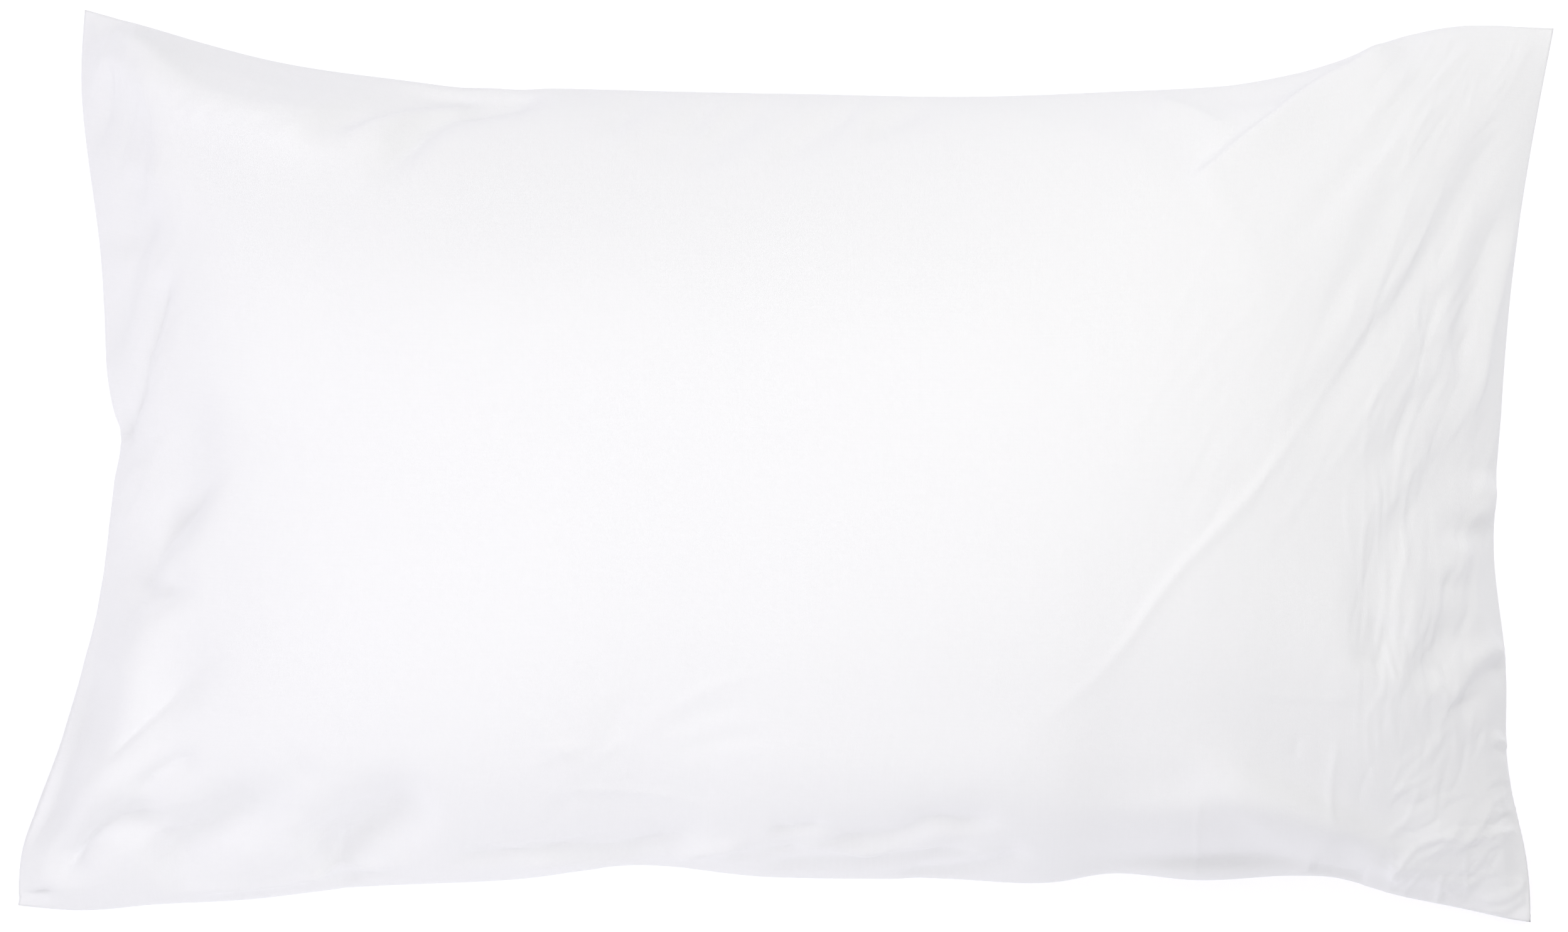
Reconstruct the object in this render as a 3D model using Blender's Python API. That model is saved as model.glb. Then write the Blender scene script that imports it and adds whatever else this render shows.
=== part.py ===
"""A cotton pillowcase on its filling, lying on its back: one sewn, filled body.

Its corners end in thin ears. It is slack at the right-hand end, where the filling thins towards the mouth.
Units are metres and +Z is up. +X runs along the length towards the open end, +Y across the width.
"""

import bmesh
import bpy
import numpy as np

MM = 0.001

# Driving sizes, in millimetres.
CROWN_HEIGHT = 172.0
SEAM_THICKNESS = 2.4
SLACK_THICKNESS = 3.0

# Grid of the front and of the back, and how much closer its lines lie towards the seams (0 is even).
CELLS_ALONG = 66
CELLS_ACROSS = 38
GRADING = 0.34

# Where the filling is thickest along the length, as a share of it.
CROWN_AT = 0.43
# (power, exponent) of the section 1 - t^power, raised to the exponent, from the crown out to each side.
CLOSED_END_SECTION = (3.0, 0.80)
OPEN_END_SECTION = (2.7, 0.90)
CROSS_SECTION = (2.3, 0.74)
# The underside falls from the seam to the floor faster than the front rises from it.
UNDERSIDE_POWER = 3.4
# The last bit of that fall is cut away, which leaves the flat patch that the body stands on.
UNDERSIDE_CUT = 0.8
# Bulges, dents and folds fade out over this distance before a seam.
FOLD_FADE = 16.0
# Where a trough would push the front through the back, the front levels out within about this height.
SOFT_STOP = 3.0
# How bluntly a fold ends: 0 would stop it dead, and 1 thins it out over its whole length.
FOLD_TAPER = 0.6
# Straight steps that a seam's curve is measured in, for each grid cell along it.
STEPS_PER_CELL = 40

# The seam's line, in millimetres, one row a point: (x, y, height of the seam above the floor).
TOP_SEAM = [
    (-371, 242, 14),
    (-348, 235, 22),
    (-306, 222, 38),
    (-265, 211, 50),
    (-179, 199, 61),
    (-81, 195, 63),
    (17, 193, 62),
    (102, 192, 58),
    (164, 195, 50),
    (248, 202, 36),
    (289, 212, 24),
    (330, 228, 14),
    (354, 233, 10),
    (410, 233, 5),
]
OPEN_END = [
    (398, -243, 4),
    (395, -211, 7),
    (384, -159, 13),
    (382, -106, 20),
    (375, -46, 24),
    (379, 29, 23),
    (387, 109, 17),
    (401, 190, 9),
    (410, 233, 5),
]
BOTTOM_SEAM = [
    (-408, -234, 5),
    (-374, -236, 10),
    (-332, -232, 18),
    (-288, -229, 28),
    (-227, -221, 42),
    (-127, -214, 53),
    (-88, -208, 55),
    (-9, -214, 54),
    (89, -216, 48),
    (142, -218, 42),
    (169, -214, 38),
    (216, -218, 31),
    (290, -218, 17),
    (331, -229, 9),
    (351, -233, 7),
    (398, -243, 4),
]
CLOSED_END = [
    (-408, -234, 5),
    (-406, -211, 9),
    (-382, -143, 29),
    (-360, -76, 46),
    (-349, -7, 53),
    (-346, 14, 54),
    (-350, 29, 53),
    (-358, 108, 42),
    (-372, 215, 18),
    (-371, 242, 14),
]

# Where the filling bulges or stops short, in millimetres and degrees, one row a bulge:
# (centre x, centre y, reach along, reach across, turn of the long way from +X, height)
BULGES = [
    (-300, 190, 75, 22, -20, 10),
    (-366, -150, 75, 22, 70, 8),
    (318, -118, 60, 70, 0, 14),
    (282, -188, 45, 14, -28, 8),
    (235, -203, 36, 8, 2, -7),
]

# The main folds of the front, in millimetres, one row a fold:
# (start x, start y, end x, end y, bow to the left of that line, height, half-width left, half-width right)
# A negative height is a trough.
FRONT_FOLDS = [
    # The long pull from the bottom seam up to the open end's top corner, and the trough on its right.
    (50, -190, 345, 150, 14, 9, 22, 12),
    (262, 40, 378, 205, 10, -7, 14, 16),
    # The hollow under the top seam and the crisp fold at its right.
    (212, 140, 325, 232, 0, 7, 9, 16),
    (225, 190, 288, 192, 0, -9, 14, 16),
    # The shoulder of the filling, from the top seam round to the right.
    (60, 186, 262, 60, 34, 5, 14, 26),
    # Troughs and ridges of the slack end.
    (345, 60, 310, -20, -4, -7, 12, 12),
    (346, 20, 305, -55, -6, -8, 10, 14),
    (376, 105, 352, 10, -3, 8, 9, 8),
    (330, -30, 352, -60, 0, 6, 12, 12),
    (330, -90, 372, -150, 0, -8, 16, 14),
    (375, -95, 340, -135, 4, 7, 9, 9),
    (315, -210, 380, -190, 12, 7, 9, 10),
    (345, -226, 392, -205, -6, 6, 8, 8),
    (265, -190, 300, -215, 0, 5, 10, 10),
    (315, -165, 350, -145, 0, -6, 12, 12),
    # Pulls towards the bottom corner of the closed end.
    (-360, -98, -396, -205, 6, -7, 12, 12),
    (-316, -105, -385, -175, 5, -6, 12, 12),
    (-330, -135, -375, -210, 0, 6, 12, 12),
    (-300, -190, -388, -222, 8, -6, 10, 10),
    (-285, -188, -330, -216, 4, -5, 10, 10),
    (-205, -190, -255, -216, 5, -4, 12, 12),
    # Pulls across the closed end, towards the nick in its seam.
    (-290, 5, -345, -60, -5, -7, 16, 10),
    (-320, 95, -346, 12, 5, -6, 8, 12),
    (-322, 145, -350, 50, 10, -5, 12, 12),
    # The band under the top seam and the pulls from the top corner of the closed end.
    (-352, 232, -240, 197, -6, -8, 14, 14),
    (-230, 182, -182, 197, 4, 6, 10, 10),
    (-215, 158, -150, 190, 6, -5, 12, 12),
    (-352, 210, -364, 165, 0, -4, 9, 9),
    # The gathered cloth along the bottom seam.
    (-165, -205, -35, -190, 0, -5, 12, 12),
    (-60, -200, 20, -186, 0, 4, 9, 9),
    (10, -200, 65, -200, 3, -4, 9, 9),
]

# The folds of the back, in the same columns, from the corners and the closed end in to the flat patch.
# A positive height is a hollow, seen from below.
BACK_FOLDS = [
    (-392, -222, -262, -128, 6, 7, 12, 10),
    (-372, -180, -270, -95, -4, 5, 10, 10),
    (-362, 226, -255, 132, 5, 7, 10, 12),
    (-345, 205, -205, 150, -6, 5, 9, 10),
    (-352, 15, -262, 32, 4, 5, 12, 9),
    (385, -225, 262, -138, -5, 6, 10, 12),
    (392, 215, 268, 128, 5, 6, 12, 10),
    (362, -60, 262, -42, 4, 5, 10, 12),
    (-60, -205, -40, -150, 0, 5, 12, 12),
    (40, 190, 30, 140, 0, 5, 12, 12),
]


def smooth_line(rows, count):
    """Return count + 1 points, the same distance apart, on a smooth curve through the rows."""
    rows = np.array(rows, float)
    spans = np.linalg.norm(np.diff(rows, axis=0), axis=1)
    knots = np.append(0.0, np.cumsum(spans))
    slopes = np.gradient(rows, knots, axis=0)
    fine = np.linspace(0.0, knots[-1], STEPS_PER_CELL * count)
    cell = np.clip(np.searchsorted(knots, fine, side="right") - 1, 0, len(spans) - 1)
    span = spans[cell][:, None]
    t = (fine - knots[cell])[:, None] / span
    curve = (1 + 2 * t) * (1 - t) ** 2 * rows[cell]
    curve += t * (1 - t) ** 2 * span * slopes[cell]
    curve += t**2 * (3 - 2 * t) * rows[cell + 1]
    curve += t**2 * (t - 1) * span * slopes[cell + 1]
    walked = np.append(0.0, np.cumsum(np.linalg.norm(np.diff(curve, axis=0), axis=1)))
    wanted = walked[-1] * graded(np.linspace(0.0, 1.0, count + 1))
    return np.stack([np.interp(wanted, walked, curve[:, k]) for k in range(3)], axis=1)


def graded(share):
    """Draw evenly spaced shares of a length closer together towards both ends."""
    return share - GRADING * np.sin(2 * np.pi * share) / (2 * np.pi)


def seam_patch():
    """Fill the seam's loop with a grid: x, y and the seam's height, each of (along + 1, across + 1)."""
    bottom = smooth_line(BOTTOM_SEAM, CELLS_ALONG)[:, None]
    top = smooth_line(TOP_SEAM, CELLS_ALONG)[:, None]
    left = smooth_line(CLOSED_END, CELLS_ACROSS)[None]
    right = smooth_line(OPEN_END, CELLS_ACROSS)[None]
    u = graded(np.linspace(0.0, 1.0, CELLS_ALONG + 1))[:, None, None]
    v = graded(np.linspace(0.0, 1.0, CELLS_ACROSS + 1))[None, :, None]
    corners = (1 - u) * ((1 - v) * bottom[:1] + v * top[:1]) + u * ((1 - v) * bottom[-1:] + v * top[-1:])
    return (1 - v) * bottom + v * top + (1 - u) * left + u * right - corners


def section(t, shape):
    """Height of a cross-section at t, from 1 at its middle (t = 0) to 0 at its edge (t = 1)."""
    power, exponent = shape
    return np.clip(1 - np.abs(t) ** power, 0.0, 1.0) ** exponent


def fullness():
    """How full the case is: 1 at the crown and 0 at the seams."""
    u = graded(np.linspace(0.0, 1.0, CELLS_ALONG + 1))[:, None]
    v = graded(np.linspace(0.0, 1.0, CELLS_ACROSS + 1))[None]
    closed_side = section((CROWN_AT - u) / CROWN_AT, CLOSED_END_SECTION)
    open_side = section((u - CROWN_AT) / (1 - CROWN_AT), OPEN_END_SECTION)
    return np.where(u < CROWN_AT, closed_side, open_side) * section(2 * v - 1, CROSS_SECTION)


def bulge_relief(x, y):
    """Sum of the bulges at x, y: each a soft oval hill or dent."""
    relief = np.zeros_like(x)
    for centre_x, centre_y, reach_along, reach_across, turn, height in BULGES:
        cosine, sine = np.cos(np.radians(turn)), np.sin(np.radians(turn))
        along = ((x - centre_x) * cosine + (y - centre_y) * sine) / reach_along
        across = ((y - centre_y) * cosine - (x - centre_x) * sine) / reach_across
        relief += height * np.exp(-(along**2) - across**2)
    return relief


def fold_relief(x, y, folds):
    """Sum of the folds at x, y: each a soft ridge or trough along a bowed line, tapered to both ends."""
    relief = np.zeros_like(x)
    for x0, y0, x1, y1, bow, height, left_width, right_width in folds:
        length = np.hypot(x1 - x0, y1 - y0)
        ahead = np.array([x1 - x0, y1 - y0]) / length
        along = ((x - x0) * ahead[0] + (y - y0) * ahead[1]) / length
        beside = (y - y0) * ahead[0] - (x - x0) * ahead[1]
        beside = beside - 4 * bow * along * (1 - along)
        width = np.where(beside > 0, left_width, right_width)
        taper = np.clip(4 * along * (1 - along), 0.0, 1.0) ** FOLD_TAPER
        relief += height * taper * np.exp(-((beside / width) ** 2))
    return relief


def inside_fade(x, y):
    """0 on the seam, rising to 1 at FOLD_FADE from it, measured along the grid's own lines."""
    from_left = np.hypot(x - x[:1], y - y[:1])
    from_right = np.hypot(x - x[-1:], y - y[-1:])
    from_bottom = np.hypot(x - x[:, :1], y - y[:, :1])
    from_top = np.hypot(x - x[:, -1:], y - y[:, -1:])
    nearest = np.minimum(np.minimum(from_left, from_right), np.minimum(from_bottom, from_top))
    share = np.clip(nearest / FOLD_FADE, 0.0, 1.0)
    return share * share * (3 - 2 * share)


def skins():
    """The front and back surfaces of the filled case, as grids of points in millimetres."""
    x, y, seam = np.moveaxis(seam_patch(), 2, 0)
    full = fullness()
    fade = inside_fade(x, y)
    back = seam * (1 - full) ** UNDERSIDE_POWER - SEAM_THICKNESS / 2 - UNDERSIDE_CUT * fade
    back = np.maximum(back + fade * fold_relief(x, y, BACK_FOLDS), 0.0)
    front = seam + (CROWN_HEIGHT - seam) * full + SEAM_THICKNESS / 2
    front = front + fade * (bulge_relief(x, y) + fold_relief(x, y, FRONT_FOLDS))
    thinnest = SEAM_THICKNESS + (SLACK_THICKNESS - SEAM_THICKNESS) * fade
    spare = front - back - thinnest
    front = back + thinnest + (spare + np.hypot(spare, SOFT_STOP * fade)) / 2
    return np.stack([x, y, front], axis=2), np.stack([x, y, back], axis=2)


def centred(front, back):
    """Move both skins so that the middle of their box stands over the origin, with the lowest point at 0."""
    low = np.minimum(front.min(axis=(0, 1)), back.min(axis=(0, 1)))
    high = np.maximum(front.max(axis=(0, 1)), back.max(axis=(0, 1)))
    shift = np.array([(low[0] + high[0]) / 2, (low[1] + high[1]) / 2, low[2]])
    return front - shift, back - shift


def closed_slab():
    """A unit square's grid extruded into a closed slab: z is 1 on the front and 0 on the back."""
    mesh = bmesh.new()
    bmesh.ops.create_grid(mesh, x_segments=CELLS_ALONG, y_segments=CELLS_ACROSS, size=0.5)
    extruded = bmesh.ops.extrude_face_region(mesh, geom=mesh.faces[:], use_keep_orig=True)
    front_points = [item for item in extruded["geom"] if isinstance(item, bmesh.types.BMVert)]
    bmesh.ops.translate(mesh, verts=front_points, vec=(0.0, 0.0, 1.0))
    bmesh.ops.recalc_face_normals(mesh, faces=mesh.faces[:])
    return mesh


def cotton():
    """Plain white woven cotton."""
    material = bpy.data.materials.new("white_cotton")
    material.use_nodes = True
    shader = material.node_tree.nodes["Principled BSDF"]
    shader.inputs["Base Color"].default_value = (0.86, 0.86, 0.875, 1.0)
    shader.inputs["Roughness"].default_value = 0.85
    shader.inputs["Metallic"].default_value = 0.0
    return material


def make_pillowcase(collection):
    front, back = centred(*skins())
    slab = closed_slab()
    for vertex in slab.verts:
        column = round((vertex.co.x + 0.5) * CELLS_ALONG)
        row = round((vertex.co.y + 0.5) * CELLS_ACROSS)
        skin = front if vertex.co.z > 0.5 else back
        vertex.co = skin[column, row] * MM
    mesh = bpy.data.meshes.new("pillowcase")
    slab.to_mesh(mesh)
    slab.free()
    mesh.shade_smooth()
    mesh.materials.append(cotton())
    collection.objects.link(bpy.data.objects.new("pillowcase", mesh))


def main():
    for old in list(bpy.data.objects):
        bpy.data.objects.remove(old, do_unlink=True)
    collection = bpy.data.collections.new("pillowcase")
    bpy.context.scene.collection.children.link(collection)
    make_pillowcase(collection)


main()
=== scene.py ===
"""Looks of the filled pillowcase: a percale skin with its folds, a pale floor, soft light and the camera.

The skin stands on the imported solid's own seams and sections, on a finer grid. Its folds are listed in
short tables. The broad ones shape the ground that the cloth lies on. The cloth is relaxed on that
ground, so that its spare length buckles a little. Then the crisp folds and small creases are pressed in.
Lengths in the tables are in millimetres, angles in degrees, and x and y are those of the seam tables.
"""

import math

import bpy
import numpy as np
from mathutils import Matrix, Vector


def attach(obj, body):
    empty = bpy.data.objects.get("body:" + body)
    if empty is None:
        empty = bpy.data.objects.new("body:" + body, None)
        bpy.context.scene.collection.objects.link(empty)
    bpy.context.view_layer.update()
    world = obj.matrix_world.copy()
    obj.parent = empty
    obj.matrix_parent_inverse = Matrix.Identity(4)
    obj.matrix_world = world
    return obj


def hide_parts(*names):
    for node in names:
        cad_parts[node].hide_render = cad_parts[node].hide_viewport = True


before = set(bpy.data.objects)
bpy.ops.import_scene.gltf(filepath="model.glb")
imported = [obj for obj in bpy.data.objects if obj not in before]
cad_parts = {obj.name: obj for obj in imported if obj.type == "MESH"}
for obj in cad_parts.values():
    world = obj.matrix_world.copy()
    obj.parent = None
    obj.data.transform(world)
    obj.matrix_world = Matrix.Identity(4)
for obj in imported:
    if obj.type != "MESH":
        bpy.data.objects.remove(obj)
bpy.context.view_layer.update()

MM = 0.001

# Grid of the front skin. The back skin takes every third of its lines.
CELLS_ALONG = 372
CELLS_ACROSS = 228
BACK_STEP = 3
# How closely the lines lie: share of the length or width, density there
DENSITY_ALONG = [(0.0, 1.5), (0.10, 1.1), (0.30, 0.55), (0.60, 0.60), (0.75, 1.25), (1.0, 1.7)]
DENSITY_ACROSS = [(0.0, 1.5), (0.15, 1.15), (0.35, 0.8), (0.65, 0.8), (0.85, 1.1), (1.0, 1.4)]
# Fine steps for each cell, in which a density is summed up and a seam's curve is walked
DENSITY_STEPS = 40
CURVE_STEPS = 12

# Form of the filled case: the crown's height and its place as a share of the length
CROWN_HEIGHT = 172.0
CROWN_AT = 0.43
# Sections from the crown to each short end and from side to side: power, exponent
CLOSED_END_SECTION = (3.0, 0.80)
OPEN_END_SECTION = (2.7, 0.90)
CROSS_SECTION = (2.3, 0.74)
# Thickness at the seam, least thickness further in, and how softly the front keeps to it
SEAM_THICKNESS = 1.6
SLACK_THICKNESS = 3.0
SOFT_STOP = 3.0
# How fast the back drops from the seam to the flat patch, and how much lower it lies inside the rim
UNDERSIDE_POWER = 3.4
UNDERSIDE_CUT = 0.8

# The camera looks straight down. It frames this width at the height of the seams' plane.
FRAME_WIDTH = 819.3
SEAM_PLANE = 50.0
CAMERA_HEIGHT = 2300.0
SENSOR_WIDTH = 36.0

# Seams of the four sides, left to right or bottom to top: x, y, height of the seam
TOP_SEAM = [
    (-371, 242, 14), (-348, 235, 22), (-306, 222, 38), (-265, 211, 50), (-179, 199, 61), (-81, 195, 63),
    (17, 193, 62), (102, 192, 58), (164, 195, 50), (248, 202, 36), (289, 212, 24), (330, 228, 14),
    (354, 233, 10), (410, 233, 5),
]
OPEN_END = [
    (398, -243, 4), (395, -211, 7), (384, -159, 13), (382, -106, 20), (375, -46, 24), (379, 29, 23),
    (387, 109, 17), (401, 190, 9), (410, 233, 5),
]
BOTTOM_SEAM = [
    (-408, -234, 5), (-374, -236, 10), (-332, -232, 18), (-288, -229, 28), (-227, -221, 42),
    (-127, -214, 53), (-88, -208, 55), (-9, -214, 54), (89, -216, 48), (142, -218, 42), (169, -214, 38),
    (216, -218, 31), (290, -218, 17), (331, -229, 9), (351, -233, 7), (398, -243, 4),
]
CLOSED_END = [
    (-408, -234, 5), (-406, -211, 9), (-382, -143, 29), (-360, -76, 46), (-349, -7, 53), (-346, 14, 54),
    (-350, 29, 53), (-358, 108, 42), (-372, 215, 18), (-371, 242, 14),
]

# Where the filling bulges or stops short of the sections: x, y, reach along, reach across, turn of the
# reach, rise of the face
BODY_CHANGES = [
    (-290, 192, 80, 20, -14, 12),
    (-344, 214, 34, 12, -28, 7),
    (-352, -146, 80, 26, 70, 19),
    (318, -118, 60, 70, 0, 14),
    (290, -192, 50, 12, -26, 13),
    (352, -196, 34, 22, -20, 8),
    (205, -178, 60, 14, 2, 6),
    (222, -205, 62, 9, 2, -16),
    (120, -172, 210, 38, 1, 9),
    (-190, 168, 130, 30, 0, 6),
    (316, -20, 34, 80, 0, 5),
    (-290, 90, 40, 90, 0, 5),
]

# Folds, as the camera sees them: height, width to the left of travel, width to the right,
# sharpness of the crest, share of the length over which it rises, share over which it falls, crest's points
RIGHT_END_FOLDS = [
    (0.4, 18, 14, 1.6, 0.35, 0.2,
     [(205, -56), (246, -11), (287, 46), (302, 65), (320, 92), (336, 118), (342, 133)]),
    (0.3, 14, 12, 1.7, 0.2, 0.4, [(46, -195), (119, -146), (164, -109), (205, -56), (246, -11)]),
    (1.25, 2.6, 3.2, 1.4, 0.3, 0.1,
     [(119, -146), (164, -109), (205, -56), (246, -11), (287, 46), (342, 133)]),
    (-0.4, 4, 8, 1.8, 0.6, 0.2, [(254, -14), (296, 44), (312, 66), (328, 92), (342, 116)]),
    (-4.5, 10, 9, 1.8, 0.15, 0.4, [(380, 186), (357, 144), (329, 95), (311, 70), (279, 30), (256, -1)]),
    (2.2, 12, 28, 1.8, 0.3, 0.4,
     [(46, 182), (135, 176), (164, 170), (205, 147), (234, 129), (246, 108), (256, 60)]),
    (-1.3, 6, 8, 2.0, 0.3, 0.4, [(333, 197), (296, 152), (258, 107)]),
    (-1.6, 6, 8, 2.0, 0.3, 0.4, [(327, 168), (309, 122), (282, 73), (263, 40)]),
    (-3.8, 12, 11, 1.8, 0.35, 0.35, [(346, 55), (338, 39), (328, 22), (316, 3), (309, -18)]),
    (-4.0, 11, 12, 1.8, 0.35, 0.35, [(347, 30), (346, 7), (338, -12), (329, -24), (319, -37), (313, -51)]),
    (4.0, 3.5, 7, 1.4, 0.25, 0.3,
     [(385, 135), (377, 110), (372, 89), (367, 67), (362, 39), (357, 20), (355, 7)]),
    (-4.5, 6, 8, 2.0, 0.3, 0.3, [(381, 145), (371, 119), (361, 89), (355, 60), (351, 34)]),
    (-2.6, 6, 6, 2.0, 0.3, 0.3, [(345, 102), (337, 73), (332, 43)]),
    (0.9, 1.8, 1.8, 1.5, 0.3, 0.3, [(331, 85), (332, 70), (337, 46)]),
    (0.9, 1.8, 1.8, 1.5, 0.3, 0.3, [(341, 85), (347, 70), (352, 39)]),
    (0.8, 1.8, 1.8, 1.5, 0.3, 0.3, [(334, 25), (338, 6), (338, -5)]),
    (5.0, 7, 9, 2.0, 0.4, 0.4, [(367, -1), (365, -19), (361, -35)]),
    (4.5, 8, 8, 2.0, 0.4, 0.4, [(355, -35), (350, -50), (345, -63)]),
    (-4.0, 13, 14, 2.0, 0.4, 0.4, [(322, -20), (314, -48), (309, -78), (306, -104)]),
]
TOP_RIGHT_FOLDS = [
    (3.0, 15, 14, 1.3, 0.3, 0.15, [(215, 150), (233, 163), (251, 176), (277, 195), (297, 205), (324, 223)]),
    (4.0, 2.6, 14, 1.25, 0.12, 0.15,
     [(208, 146), (215, 150), (233, 163), (251, 176), (277, 195), (297, 205), (324, 223)]),
    (-2.0, 9, 6, 2.0, 0.25, 0.25, [(218, 196), (238, 192), (263, 196), (288, 206)]),
    (3.0, 5, 9, 1.6, 0.2, 0.2, [(190, 190), (212, 184), (234, 172)]),
]
BOTTOM_RIGHT_FOLDS = [
    (3.2, 5, 8, 1.6, 0.15, 0.3, [(378, -93), (360, -103), (350, -117), (341, -129)]),
    (-2.4, 6, 6, 2.0, 0.2, 0.3, [(378, -101), (367, -112), (357, -125), (349, -134)]),
    (-5.5, 11, 11, 2.0, 0.35, 0.35, [(361, -76), (349, -89), (341, -104), (338, -121)]),
    (-4.0, 12, 12, 2.0, 0.3, 0.3, [(323, -78), (313, -94), (307, -111)]),
    (3.0, 3, 3, 1.5, 0.3, 0.1, [(368, -142), (374, -144), (378, -147)]),
    (2.0, 3, 5, 1.6, 0.3, 0.3, [(372, -147), (376, -158), (379, -171)]),
    (2.4, 2.2, 3, 1.3, 0.1, 0.15,
     [(315, -216), (322, -206), (330, -198), (341, -193), (357, -194), (384, -189)]),
    (1.5, 2, 2.4, 1.4, 0.1, 0.3, [(317, -217), (325, -209), (333, -203), (345, -198), (359, -197)]),
    (-1.6, 2.2, 2.6, 1.6, 0.1, 0.4, [(380, -180), (372, -186), (360, -188), (345, -187)]),
    (1.2, 1.8, 1.8, 1.5, 0.3, 0.3, [(315, -171), (327, -167), (338, -161), (341, -155)]),
    (1.0, 1.8, 1.8, 1.5, 0.3, 0.3, [(317, -173), (330, -170), (341, -165), (346, -158)]),
    (1.4, 1.8, 1.8, 1.5, 0.1, 0.4, [(341, -229), (344, -210)]),
    (2.6, 3, 4, 1.5, 0.3, 0.15, [(360, -225), (373, -225), (383, -220), (387, -213)]),
    (1.8, 2.5, 3, 1.5, 0.3, 0.1, [(364, -231), (376, -231), (387, -225)]),
    (-0.8, 3, 3, 2.0, 0.4, 0.4, [(268, -138), (268, -155)]),
    (0.9, 2.4, 2.4, 1.6, 0.3, 0.3, [(291, -136), (287, -157), (285, -176), (286, -196)]),
    (0.9, 2.2, 2.2, 1.6, 0.3, 0.3, [(317, -123), (318, -138), (322, -150)]),
    (0.5, 1.6, 1.6, 1.5, 0.3, 0.3, [(242, -119), (266, -121), (292, -122), (305, -122)]),
    (0.7, 1.8, 1.8, 1.5, 0.3, 0.1, [(217, -168), (215, -216)]),
    (4.5, 20, 12, 1.8, 0.35, 0.2, [(204, -170), (233, -171), (256, -187), (276, -200), (292, -211)]),
    (-3.0, 4, 5, 1.6, 0.2, 0.1, [(273, -206), (289, -212), (305, -216)]),
]
BOTTOM_LEFT_FOLDS = [
    (-4.5, 12, 13, 2.0, 0.3, 0.2, [(-352, -84), (-362, -116), (-374, -145), (-385, -175), (-395, -205)]),
    (-3.4, 8, 13, 1.8, 0.3, 0.3, [(-303, -64), (-325, -66), (-345, -76), (-353, -90), (-360, -106)]),
    (-5.6, 14, 18, 1.9, 0.45, 0.3, [(-290, -86), (-312, -106), (-331, -126), (-352, -146), (-378, -162)]),
    (-0.8, 3, 4, 1.7, 0.3, 0.3, [(-314, -112), (-330, -130), (-350, -148), (-368, -160)]),
    (-2.4, 7, 6, 1.8, 0.3, 0.3, [(-303, -150), (-320, -157), (-332, -165), (-343, -178)]),
    (-6.0, 11, 14, 1.8, 0.35, 0.2, [(-316, -186), (-338, -188), (-356, -193), (-370, -203), (-382, -220)]),
    (-0.8, 3, 3, 1.8, 0.3, 0.2, [(-330, -189), (-352, -192), (-367, -200), (-379, -214)]),
    (-2.5, 2.6, 3, 1.6, 0.05, 0.4, [(-402, -226), (-390, -224), (-379, -223)]),
    (-8.0, 12, 18, 1.9, 0.4, 0.2, [(-252, -176), (-274, -184), (-292, -190), (-308, -199), (-331, -216)]),
    (-8.0, 12, 18, 1.9, 0.4, 0.2, [(-176, -178), (-196, -184), (-214, -191), (-228, -200), (-246, -214)]),
    (-0.8, 4, 4, 1.8, 0.3, 0.2, [(-198, -192), (-214, -196), (-228, -204), (-240, -212)]),
    (-1.2, 12, 12, 2.0, 0.35, 0.35, [(-244, -150), (-257, -168), (-269, -182)]),
    (1.2, 1.9, 2.2, 1.5, 0.2, 0.3,
     [(-328, -225), (-301, -221), (-272, -219), (-246, -214), (-213, -210), (-180, -205)]),
    (-1.2, 1.9, 2.2, 1.5, 0.2, 0.3, [(-311, -226), (-285, -224), (-256, -220), (-226, -216), (-200, -213)]),
    (1.0, 1.8, 1.8, 1.5, 0.3, 0.3, [(-256, -216), (-239, -213), (-221, -211), (-206, -207)]),
    (-1.0, 1.8, 1.8, 1.5, 0.3, 0.3, [(-233, -219), (-213, -214), (-196, -212)]),
]
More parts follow.
